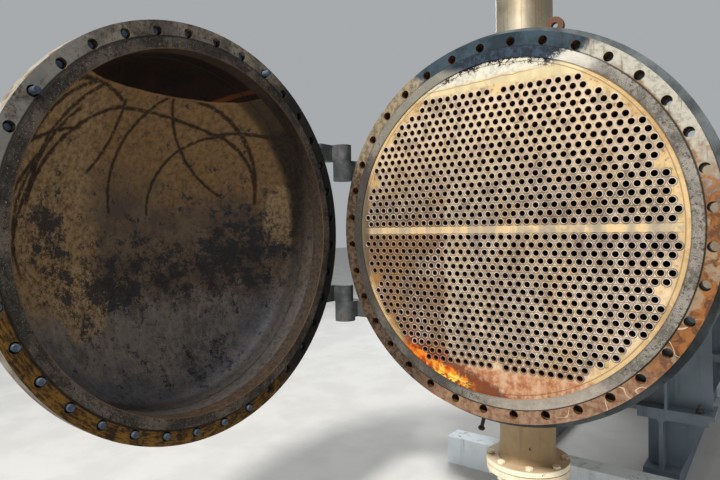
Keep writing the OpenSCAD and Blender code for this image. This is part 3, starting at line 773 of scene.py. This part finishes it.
# %% Cover flange finish
def cover_flange_finish():
    f = Finish("cover_flange_face", metallic=0.1, roughness=0.65)
    across, high, depth = closed_place(f)
    radius = (across * across + high * high) ** 0.5
    upright, side = high / radius, across / radius
    cloud = noise(f, 8.0, detail=5.0)
    fine = noise(f, 60.0, detail=6.0, rough=0.7)
    patches = noise(f, 20.0, detail=5.0, bend=0.5)
    grit = noise(f, 210.0, detail=4.0, rough=0.75)
    top = two_tone(f, cloud, 0.4, 0.6, (124, 116, 106), (84, 78, 70))
    colour = blend(f, step(f, fine * 0.5 + grit * 0.5, 0.50, 0.56) * 0.75, top, tint(36, 30, 26))
    pale_left = step(f, side, 0.45, 0.75) * step(f, upright, -0.2, 0.2) * step(f, patches, 0.40, 0.52)
    colour = blend(f, pale_left * 0.7, colour, tint(124, 124, 120))
    swept = around(f, radius, angle_of(f, high, across), 150.0, along=0.12)
    ochre = two_tone(f, swept * 0.6 + patches * 0.4, 0.44, 0.56, (112, 80, 28), (46, 31, 15))
    ochre = blend(f, step(f, fine, 0.56, 0.64) * 0.7, ochre, tint(28, 20, 14))
    colour = blend(f, step(f, upright + (cloud - 0.5) * 0.3, -0.15, -0.35), colour, ochre)
    # Painted shade: the face and the rim are nearly black on the hinge side.
    hinge_side_shade = step(f, side, -0.40, -0.65)
    colour = blend(f, hinge_side_shade, colour, two_tone(f, grit, 0.5, 0.6, (20, 21, 21), (40, 38, 36)))
    groove = step(f, abs(radius + (fine - 0.5) * 0.006 - 0.8115), 0.006, 0.002)
    colour = blend(f, groove * 0.85, colour, tint(24, 20, 18))
    bore = step(f, radius, 0.780, 0.776)
    colour = blend(f, bore * 0.9, colour, two_tone(f, fine, 0.4, 0.6, (44, 36, 30), (66, 54, 44)))
    edge = step(f, depth, 0.0005, 0.003) * step(f, radius, 0.780, 0.790)
    rim = two_tone(f, cloud, 0.4, 0.6, (150, 146, 136), (112, 104, 92))
    rim = blend(f, step(f, patches, 0.52, 0.6), rim, tint(116, 76, 44))
    rim = blend(f, hinge_side_shade, rim, tint(36, 37, 36))
    colour = blend(f, edge * 0.85, colour, rim)
    in_hole = step(f, abs(radius - BOLT_R), 0.0148, 0.0142) * edge
    in_hole = in_hole * step(f, depth, COVER_FLANGE_T - 0.0010, COVER_FLANGE_T - 0.0025)
    colour = blend(f, in_hole * 0.8, colour, tint(40, 30, 24))
    f.set("Base Color", colour)
    f.set("Roughness", 0.5 + 0.35 * fine)
    f.set("Specular IOR Level", 0.2)
    bump(f, fine * 0.7 + patches * 0.4, 0.0018)
    return f.material


cover_flange_metal = cover_flange_finish()
print("cover flange finish:", len(cover_flange_metal.node_tree.nodes), "nodes")

# %% [markdown]
# The pipe of the top nozzle is bare: a warm satin metal with fine lines along it. Metallic stays well
# under 1, because weather has left a dull film on the metal.

# %% Pipe finish
def pipe_finish():
    f = Finish("nozzle_pipe", metallic=0.75, roughness=0.42)
    cloud = noise(f, 5.0, detail=4.0)
    lines = noise(f, 90.0, detail=3.0, stretch=(1, 1, 0.04))
    fine = noise(f, 70.0, detail=5.0)
    colour = two_tone(f, cloud, 0.4, 0.65, (166, 156, 136), (142, 128, 104))
    colour = blend(f, step(f, lines, 0.5, 0.7) * 0.5, colour, tint(112, 98, 78))
    colour = blend(f, step(f, fine, 0.62, 0.74) * 0.5, colour, tint(124, 96, 66))
    f.set("Base Color", colour)
    f.set("Roughness", 0.32 + 0.25 * fine)
    bump(f, lines * 0.6 + fine * 0.4, 0.0005)
    return f.material


pipe_metal = pipe_finish()
print("pipe finish:", len(pipe_metal.node_tree.nodes), "nodes")

# %% [markdown]
# A CAD solid keeps its shape. It only gets a finish: every slot of its object is filled.

# %% Dress the solids
def dress(material, *nodes):
    for name in nodes:
        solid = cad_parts[name]
        if not solid.material_slots:
            solid.data.materials.append(material)
        for slot in solid.material_slots:
            slot.material = material


dress(tubesheet_metal, "tubesheet")
dress(ring_metal, "face_ring")
dress(forged, "shell_flange")
dress(rear_forged, "rear_shell_flange", "rear_tubesheet", "channel_flange")
dress(drum_paint, "shell", "channel_barrel", "channel_head", "channel_nozzle_top", "channel_nozzle_bottom")
dress(pipe_metal, "shell_nozzle_top")
dress(nozzle_paint, "shell_nozzle_bottom")
dress(sunlit_flange_paint, "companion_flange")
dress(sunlit_beam_paint, "cross_beam_front", "cross_beam_rear")
dress(shaded_support_paint, "saddle_front", "saddle_rear", "pedestal_front_left", "pedestal_front_right",
      "pedestal_rear_left", "pedestal_rear_right", "runner_left", "runner_right")
dress(hinge_steel, "vessel_hinge_upper", "vessel_hinge_lower", "hinge_pin_upper", "hinge_pin_lower",
      "cover_hinge_upper", "cover_hinge_lower")
dress(cover_flange_metal, "cover_flange")
dress(cover_ring_metal, "cover_ring")
dress(dish_metal, "cover_barrel", "cover_head")
print("dressed", len(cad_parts), "solids")

# %% [markdown]
# ## Small pieces, many times over
# Tube ends, bolts and nuts repeat hundreds of times. An object for each would make the scene slow, so
# a batch collects the points and faces of all the copies and makes one mesh of them.

# %% A batch of copies
class Batch:
    """Collects copies of small shapes and makes them one piece."""

    def __init__(self):
        self.points, self.faces, self.smooth = [], [], []

    def add(self, shape, place):
        first = len(self.points)
        points, faces, smooth = shape
        self.points += [place @ Vector(point) for point in points]
        self.faces += [[first + k for k in face] for face in faces]
        self.smooth += smooth

    def piece(self, name, material, slot, body="vessel"):
        mesh = bpy.data.meshes.new(name)
        mesh.from_pydata(self.points, [], self.faces)
        mesh.polygons.foreach_set("use_smooth", self.smooth)
        mesh.materials.append(material)
        mesh.update()
        thing = bpy.data.objects.new(name, mesh)
        bpy.context.collection.objects.link(thing)
        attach(thing, body)
        print(name, "has", sum(len(face) - 2 for face in self.faces), "triangles")


print("a shape is its points, its faces and which faces are smooth")

# %% [markdown]
# Nearly every small piece is round about its own line, as a lathe makes it: a stud, a washer, the lip of
# a tube. So each is a short profile turned about Z. A nut is the same with only six sides. A matrix
# then aims it and moves it to its place.

# %% Turned shapes
ROD_SIDES = 14
FRONT, BACK, UP, DOWN = (0, -1, 0), (0, 1, 0), (0, 0, 1), (0, 0, -1)


def turned(profile, sides, closed=False, smooth=True):
    """Turns a line of (radius, height) about Z. A closed line makes a ring, an open one gets flat ends."""
    points, faces, shades = [], [], []
    for radius, height in profile:
        for k in range(sides):
            angle = 2 * math.pi * k / sides
            points.append((radius * math.cos(angle), radius * math.sin(angle), height))
    rows = len(profile)
    for row in range(rows if closed else rows - 1):
        low, high = row * sides, (row + 1) % rows * sides
        for k in range(sides):
            after = (k + 1) % sides
            faces.append([low + k, low + after, high + after, high + k])
            shades.append(smooth)
    if not closed:
        faces += [list(range(sides))[::-1], list(range((rows - 1) * sides, rows * sides))]
        shades += [False, False]
    return points, faces, shades


def nut(across, height):
    """Across is measured between two flats. Both ends are bevelled a little."""
    corner, bevel = across / math.sqrt(3), height * 0.12
    worn = corner * 0.88
    return turned([(worn, 0), (corner, bevel), (corner, height - bevel), (worn, height)], 6, smooth=False)


def rod(radius, length):
    tip, bevel = radius * 0.86, radius * 0.2
    return turned([(tip, 0), (radius, bevel), (radius, length - bevel), (tip, length)], ROD_SIDES)


def aimed(direction, place):
    """A matrix that turns Z towards a direction and moves the shape to a place."""
    turning = Vector(UP).rotation_difference(Vector(direction))
    return Matrix.Translation(place) @ turning.to_matrix().to_4x4()


print("a nut has", len(nut(1.0, 1.0)[1]), "faces and a rod", len(rod(1.0, 9.0)[1]))

# %% [markdown]
# The tubes sit in rows of equal triangles, 18 rows above the pass lane and 18 below it. Each tube end
# is rolled into the plate and stands a little proud, with a rounded lip. Behind the plate the tubes
# run the whole length of the drum, so a look straight into a bore meets a real tube.

# %% Tube ends and tubes
WIDEST = 19
TUBE_BORE_R, TUBE_R = 0.0126, 0.0158
INSET = 0.062
# The lip's line, as a radius and a depth behind the face of the plate
LIP = ((0.0132, 0.0008), (0.0134, -0.0013), (0.0146, -0.0022), (0.0160, -0.0012), (0.0163, 0.0008))


def tube_places():
    for row in range(-ROWS, ROWS + 1):
        shift = 0.5 if row % 2 else 0.0
        for count in range(-WIDEST, WIDEST + 1):
            place = count + shift
            x, z = place * PITCH, row * ROW
            if row and math.hypot(x, z) <= FIELD_R and (abs(row), abs(place)) not in TIES:
                yield x, z


lip_points, lip_faces, lip_shades = turned(LIP, 16)
open_lip = lip_points, lip_faces[:-2], lip_shades[:-2]
length = REAR - FACE - 2 * INSET
tube = turned([(TUBE_BORE_R, 0), (TUBE_R, 0), (TUBE_R, length), (TUBE_BORE_R, length)], 10, closed=True)
ends, tubes = Batch(), Batch()
places = list(tube_places())
for x, z in places:
    rolled = Matrix.Rotation(random.uniform(0, 0.4), 4, "Z")
    proud = Matrix.Diagonal((1, 1, random.uniform(0.4, 1.1), 1))
    ends.add(open_lip, aimed(BACK, (x, FACE, AXIS + z)) @ rolled @ proud)
    tubes.add(tube, aimed(BACK, (x, FACE + INSET, AXIS + z)))
print("tubes:", len(places))

# %% [markdown]
# The tube ends are paler than the plate, because scale grows thickest on their lips. They brown, grey
# and rust where the plate does, so their masks lie in the same places as the plate's.

# %% Tube end finish
def tube_end_finish():
    f = Finish("tube_ends", metallic=0.1, roughness=0.7)
    broad = noise(f, 7.0, detail=4.0)
    fine = noise(f, 60.0, detail=5.0)
    high = f.z - AXIS
    colour = two_tone(f, noise(f, 24.0, detail=2.0), 0.4, 0.6, (218, 208, 198), (166, 156, 150))
    brown = step(f, f.x + (fine - 0.5) * 0.05, -0.24, -0.28)
    brown = brown * step(f, high, 0.3, -0.1) * step(f, broad, 0.35, 0.6)
    colour = blend(f, brown * 0.8, colour, tint(142, 104, 68))
    colour = blend(f, step(f, broad, 0.5, 0.62) * 0.6, colour, tint(204, 172, 124))
    grey = step(f, noise(f, 15.0, stretch=(1, 1, 0.22)), 0.48, 0.62)
    grey = grey * step(f, high, 0.3, -0.05) * step(f, f.x, -0.3, -0.1)
    colour = blend(f, grey * 0.6, colour, tint(128, 114, 104))
    colour = blend(f, step(f, high, 0.1, 0.4) * 0.65, colour, tint(186, 158, 116))
    colour = blend(f, step(f, high, -0.56, -0.62) * 0.7, colour, tint(150, 100, 64))
    colour = blend(f, step(f, fine, 0.6, 0.7) * 0.5, colour, tint(96, 76, 58))
    f.set("Base Color", colour)
    bump(f, fine, 0.001)
    return f.material


ends.piece("tube_ends", tube_end_finish(), "scaled_steel")
tube_steel = steel_finish("tube_inside", tint(70, 50, 36), tint(50, 37, 28), tint(88, 54, 32), 0.5)
tubes.piece("tube_bundle", tube_steel, "rusty_steel")

# %% [markdown]
# ## Bolts
# At the rear the channel is bolted on with a ring of studs, each with a nut at both ends. The nuts sit
# on the outer faces of the two flanges, which are read off the solids.

# %% Rear studs
STUD_R = 0.0135
STUD_NUT = (0.055, 0.034)


def stud_ring():
    for k in range(BOLTS):
        angle = 2 * math.pi * (k + 0.5) / BOLTS
        yield k, BOLT_R * math.cos(angle), BOLT_R * math.sin(angle)


rear_studs = Batch()
near, far = span("rear_shell_flange", Y)[0], span("channel_flange", Y)[1]
for k, x, z in stud_ring():
    out = random.uniform(0.038, 0.046)
    rear_studs.add(rod(STUD_R, far - near + 2 * out), aimed(BACK, (x, near - out, AXIS + z)))
    rear_studs.add(nut(*STUD_NUT), aimed(FRONT, (x, near, AXIS + z)))
    rear_studs.add(nut(*STUD_NUT), aimed(BACK, (x, far, AXIS + z)))
rear_studs.piece("rear_studs", bolt_steel, "weathered_steel")

# %% [markdown]
# The front studs are out, but the cover has kept its own in their holes: some of them stand out on the
# open side, with worn blue ends, the others are just short of the face. Behind the cover's flange each
# has its nut. They are written as if the cover were closed, then turned with it to where it stands open.

# %% Cover studs
LONG_STUDS = (3, 11)
TAIL = 0.040
to_hinge = Matrix.Translation((*HINGE, 0))
opened = to_hinge @ Matrix.Rotation(-OPEN, 4, "Z") @ to_hinge.inverted()
stud_blue = steel_finish("stud_ends", tint(52, 62, 76), tint(84, 98, 116), tint(88, 60, 40), 0.3,
                         metallic=0.4, size=5.0)
cover_studs, cover_nuts = Batch(), Batch()
flange_back = COVER_FACE - COVER_FLANGE_T
for k, x, z in stud_ring():
    lowered = z < -0.15 * BOLT_R and x > -0.30
    reach = 0.012 if lowered else random.uniform(-0.022, -0.008)
    if k in LONG_STUDS:
        reach = 0.034
    stud = rod(STUD_R, TAIL + COVER_FLANGE_T + reach)
    cover_studs.add(stud, opened @ aimed(BACK, (x, flange_back - TAIL, AXIS + z)))
    cover_nuts.add(nut(*STUD_NUT), opened @ aimed(FRONT, (x, flange_back, AXIS + z)))
cover_studs.piece("cover_studs", stud_blue, "weathered_steel", "cover")
cover_nuts.piece("cover_nuts", bolt_steel, "weathered_steel", "cover")

# %% [markdown]
# The bottom nozzle's bolts are painted over: a low head above its flange, a nut below the pipe's
# flange. The two flanges meet where the nozzle's solid ends.

# %% Bottom nozzle bolts
NOZZLE_BOLTS = 8
NOZZLE_BOLT_R = 0.181
FLANGE_T = 0.030
nozzle_y = centre("shell_nozzle_bottom", Y)
seam_z = span("shell_nozzle_bottom", Z)[0]
nozzle_bolts = Batch()
for k in range(NOZZLE_BOLTS):
    angle = 2 * math.pi * (k + 0.5) / NOZZLE_BOLTS
    x, y = NOZZLE_BOLT_R * math.cos(angle), nozzle_y + NOZZLE_BOLT_R * math.sin(angle)
    nozzle_bolts.add(rod(0.011, 0.108), aimed(DOWN, (x, y, seam_z + FLANGE_T + 0.004)))
    nozzle_bolts.add(nut(0.034, 0.014), aimed(UP, (x, y, seam_z + FLANGE_T)))
    nozzle_bolts.add(nut(0.034, 0.018), aimed(DOWN, (x, y, seam_z - FLANGE_T)))
nozzle_bolts.piece("nozzle_bolts", sunlit_flange_paint, "weathered_steel")

# %% [markdown]
# Each saddle is held down on its pedestals by two bolts at each end, with a washer under each nut. The
# bolts lie in shade on the real one, so this is how such a saddle is usually held.

# %% Saddle bolts
FOOT_T = 0.025
WASHER_R, WASHER_T = 0.024, 0.004
FOOT_BOLT_X, FOOT_BOLT_Y = 0.640, 0.075
foot_top = span("pedestal_front_right", Z)[1] + FOOT_T
saddle_bolts = Batch()
for node in ("saddle_front", "saddle_rear"):
    for x in (-FOOT_BOLT_X, FOOT_BOLT_X):
        for aside in (-FOOT_BOLT_Y, FOOT_BOLT_Y):
            y = centre(node, Y) + aside
            saddle_bolts.add(rod(0.012, 0.048), aimed(UP, (x, y, foot_top)))
            saddle_bolts.add(turned([(WASHER_R, 0), (WASHER_R, WASHER_T)], 20), aimed(UP, (x, y, foot_top)))
            saddle_bolts.add(nut(0.038, 0.021), aimed(UP, (x, y, foot_top + WASHER_T)))
saddle_bolts.piece("saddle_bolts", bolt_steel, "weathered_steel")

# %% [markdown]
# A forgotten bolt hangs from the lower rim of the flange behind the tubesheet, its head down. It leans
# a little, so its line runs between two points and the shapes are aimed along it.

# %% Hanging bolt
hang_top = Vector((-0.108, FACE + 0.092, AXIS - 0.885))
hang_low = Vector((-0.127, FACE + 0.098, AXIS - 0.952))
drop = hang_low - hang_top
hanging = Batch()
hanging.add(rod(0.009, drop.length), aimed(drop, hang_top))
hanging.add(nut(0.028, 0.014), aimed(drop, hang_low))
dark_steel = steel_finish("dark_bolt", tint(44, 34, 28), tint(30, 25, 22), tint(70, 42, 26), 0.5, size=5.0)
hanging.piece("hanging_bolt", dark_steel, "weathered_steel")

# %% [markdown]
# A lifting lug stands on the same flange, to the right of the top nozzle: a plate with a round top and
# a hole. Its outline is drawn as a distance from the hole for each direction, the hole as a circle.

# %% Lifting lug
LUG_SIDES = 40
LUG_ASIDE, LUG_LIFT, LUG_BACK = 0.236, 0.014, 0.095
FLANGE_R = span("shell_flange", X)[1]


def lug(half_width, foot, hole, thickness):
    """A plate that stands along Z, with its hole along Y."""
    angles = [2 * math.pi * k / LUG_SIDES for k in range(LUG_SIDES)]
    points, faces = [], []
    for depth in (-thickness / 2, thickness / 2):
        for angle in angles:
            east, north = math.cos(angle), math.sin(angle)
            reach = half_width if north >= 0 else min(half_width / max(abs(east), 1e-6), foot / -north)
            points.append((reach * east, depth, reach * north))
        points += [(hole * math.cos(angle), depth, hole * math.sin(angle)) for angle in angles]
    front, inner, back, deep = (LUG_SIDES * k for k in range(4))
    for k in range(LUG_SIDES):
        after = (k + 1) % LUG_SIDES
        faces.append([front + k, front + after, inner + after, inner + k])
        faces.append([back + after, back + k, deep + k, deep + after])
        faces.append([front + after, front + k, back + k, back + after])
        faces.append([inner + k, inner + after, deep + after, deep + k])
    return points, faces, [False] * len(faces)


lean = Matrix.Rotation(math.asin(LUG_ASIDE / FLANGE_R), 4, "Y")
lug_foot = Matrix.Translation((0, FACE + LUG_BACK, AXIS)) @ lean
lifting_lug = Batch()
lifting_lug.add(lug(0.038, 0.022, 0.014, 0.024), lug_foot @ Matrix.Translation((0, 0, FLANGE_R + LUG_LIFT)))
lug_steel = steel_finish("rusty_lug", tint(92, 62, 46), tint(66, 44, 34), tint(112, 64, 38), 0.7, size=4.0)
lifting_lug.piece("lifting_lug", lug_steel, "rusty_steel")

# %% [markdown]
# ## Welds
# A weld bead is a low, rippled ridge along a joint. It is swept along a path of points: six points
# across the bead are set up at each step, and its height wavers as a welder's hand does.

# %% Weld beads
BEAD_SIDES = 6


def heading(path, k, closed):
    """The direction of a path at one of its points, from the point before it to the one after."""
    if closed:
        return path[(k + 1) % len(path)] - path[k - 1]
    return path[min(k + 1, len(path) - 1)] - path[max(k - 1, 0)]


def bead(batch, path, normals, width, closed=True, place=Matrix.Identity(4)):
    count = len(path)
    points, faces = [], []
    for k, (point, normal) in enumerate(zip(path, normals)):
        side = heading(path, k, closed).cross(normal).normalized()
        ripple = width * (0.42 + 0.10 * math.sin(k * 1.9) + random.uniform(-0.04, 0.04))
        for j in range(BEAD_SIDES):
            swing = 2 * math.pi * j / BEAD_SIDES
            points.append(point + side * (width / 2 * math.cos(swing)) + normal * (ripple * math.sin(swing)))
    for k in range(count if closed else count - 1):
        here, there = k * BEAD_SIDES, (k + 1) % count * BEAD_SIDES
        for j in range(BEAD_SIDES):
            after = (j + 1) % BEAD_SIDES
            faces.append([here + j, here + after, there + after, there + j])
    if not closed:
        last = (count - 1) * BEAD_SIDES
        faces += [list(range(BEAD_SIDES))[::-1], list(range(last, last + BEAD_SIDES))]
    batch.add((points, faces, [True] * len(faces)), place)


print("a bead has", BEAD_SIDES, "sides")

# %% [markdown]
# Round seams join the plates of the drum and its flanges. A nozzle's pipe meets the drum in a curve like
# the rim of a saddle: seen from the pipe's end it is a circle, and its height follows the drum.

# %% Drum welds
SHELL_R, CHANNEL_R = span("shell", X)[1], span("channel_barrel", X)[1]
PIPE_R = 0.1365
SEAM_W, NOZZLE_SEAM_W = 0.014, 0.016
HOOP_STEPS, NOZZLE_STEPS = 240, 72


def hoop(y, radius, outward=True):
    path, normals = [], []
    for k in range(HOOP_STEPS):
        angle = 2 * math.pi * k / HOOP_STEPS
        normal = Vector((math.cos(angle), 0, math.sin(angle)))
        path.append(Vector((0, y, AXIS)) + normal * radius)
        normals.append(normal if outward else -normal)
    return path, normals


def nozzle_line(y, drum_radius, pipe_radius, sign):
    path, normals = [], []
    for k in range(NOZZLE_STEPS):
        angle = 2 * math.pi * k / NOZZLE_STEPS
        x = pipe_radius * math.cos(angle)
        height = math.sqrt(drum_radius ** 2 - x * x)
        path.append(Vector((x, y + pipe_radius * math.sin(angle), AXIS + sign * height)))
        normals.append(Vector((math.cos(angle), math.sin(angle), sign)).normalized())
    return path, normals


vessel_welds = Batch()
for y in (*span("shell", Y), FACE + 1.55, FACE + 3.30):
    bead(vessel_welds, *hoop(y, SHELL_R), SEAM_W)
for y in span("channel_barrel", Y):
    bead(vessel_welds, *hoop(y, CHANNEL_R), SEAM_W)
for y, drum_radius in ((nozzle_y, SHELL_R), (centre("channel_nozzle_top", Y), CHANNEL_R)):
    for sign in (1, -1):
        bead(vessel_welds, *nozzle_line(y, drum_radius, PIPE_R, sign), NOZZLE_SEAM_W)
vessel_welds.piece("vessel_welds", drum_paint, "beige_paint")

# %% [markdown]
# The arms of the hinges are welded to the rims of the flanges, along their upper and lower sides. These
# beads are short and open, so each gets a flat end. The cover's own seams come last.

# %% Hinge and cover welds
ARM_HALF = 0.046
ARM_STEPS = 14
COVER_R = span("tubesheet", X)[1]


def rim_line(radius, height, front, back, outside):
    """A straight line along Y where a hinge arm's upper or lower side meets the round rim of a flange."""
    x = -math.sqrt(radius ** 2 - height ** 2)
    steps = [front + (back - front) * k / (ARM_STEPS - 1) for k in range(ARM_STEPS)]
    normal = Vector((-1, 0, outside)).normalized()
    return [Vector((x, FACE + y, AXIS + height)) for y in steps], [normal] * ARM_STEPS


hinge_welds, cover_hinge_welds, cover_welds = Batch(), Batch(), Batch()
for level in ("lower", "upper"):
    vessel_arm = centre("vessel_hinge_" + level, Z) - AXIS
    cover_arm = centre("cover_hinge_" + level, Z) - AXIS
    for outside in (-1, 1):
        line = rim_line(FLANGE_R, vessel_arm + outside * ARM_HALF, 0.064, 0.121, outside)
        bead(hinge_welds, *line, 0.013, closed=False)
        line = rim_line(COVER_R, cover_arm + outside * ARM_HALF, -0.081, -0.024, outside)
        bead(cover_hinge_welds, *line, 0.013, closed=False, place=opened)
hinge_welds.piece("hinge_welds", hinge_steel, "weathered_steel")
cover_hinge_welds.piece("cover_hinge_welds", hinge_steel, "weathered_steel", "cover")
bead(cover_welds, *hoop(COVER_FACE - BARREL_END, CHANNEL_R), SEAM_W, place=opened)
bead(cover_welds, *hoop(flange_back, CHANNEL_R), SEAM_W, place=opened)
bead(cover_welds, *hoop(COVER_FACE - BARREL_END, DRUM_R, outward=False), 0.010, place=opened)
cover_welds.piece("cover_welds", dish_metal, "brown_scale", "cover")

# %% [markdown]
# ## The studio
# A pale floor, and a bright soft sky all round, so that no side is black.

# %% Floor and sky
def floor_finish():
    f = Finish("studio_floor", roughness=0.8)
    f.set("Base Color", two_tone(f, noise(f, 2.0), 0.4, 0.6, (196, 195, 192), (188, 187, 184)))
    return f.material


corners = [(-30, -30, 0), (30, -30, 0), (30, 40, 0), (-30, 40, 0)]
floor_mesh = bpy.data.meshes.new("studio_floor")
floor_mesh.from_pydata(corners, [], [(0, 1, 2, 3)])
floor_mesh.materials.append(floor_finish())
floor = bpy.data.objects.new("studio_floor", floor_mesh)
bpy.context.collection.objects.link(floor)

world = bpy.data.worlds.new("studio")
world.use_nodes = True
background = world.node_tree.nodes["Background"]
background.inputs["Color"].default_value = (0.84, 0.88, 0.92, 1)
background.inputs["Strength"].default_value = 0.46
bpy.context.scene.world = world
print("floor and sky ready")

# %% [markdown]
# One strong warm lamp stands high behind the camera and a weak cool one to the left. A third lights the
# top from the rear. Round lamps with some size give soft shadows, which show the depth of the holes and
# of the dish. The plain view transform keeps the colours as they were mixed.

# %% Lights
def lamp(name, place, target, size, power, colour):
    light = bpy.data.lights.new(name, "AREA")
    light.shape = "DISK"
    light.size = size
    light.energy = power
    light.color = colour
    thing = bpy.data.objects.new(name, light)
    thing.matrix_world = aimed(Vector(place) - Vector(target), place)
    bpy.context.collection.objects.link(thing)


lamp("key", (0.3, -8.0, 9.0), (0.0, -1.0, 1.2), 1.6, 1500, (1.0, 0.97, 0.92))
lamp("fill", (-4.5, -7.5, 4.0), (-0.5, -1.0, 1.5), 4.0, 90, (0.86, 0.93, 1.0))
lamp("rim", (-4.0, 6.0, 6.0), (0.0, 1.5, 1.5), 4.0, 400, (0.95, 0.97, 1.0))
bpy.context.scene.view_settings.view_transform = "Standard"
print("lamps:", len(bpy.data.lights))
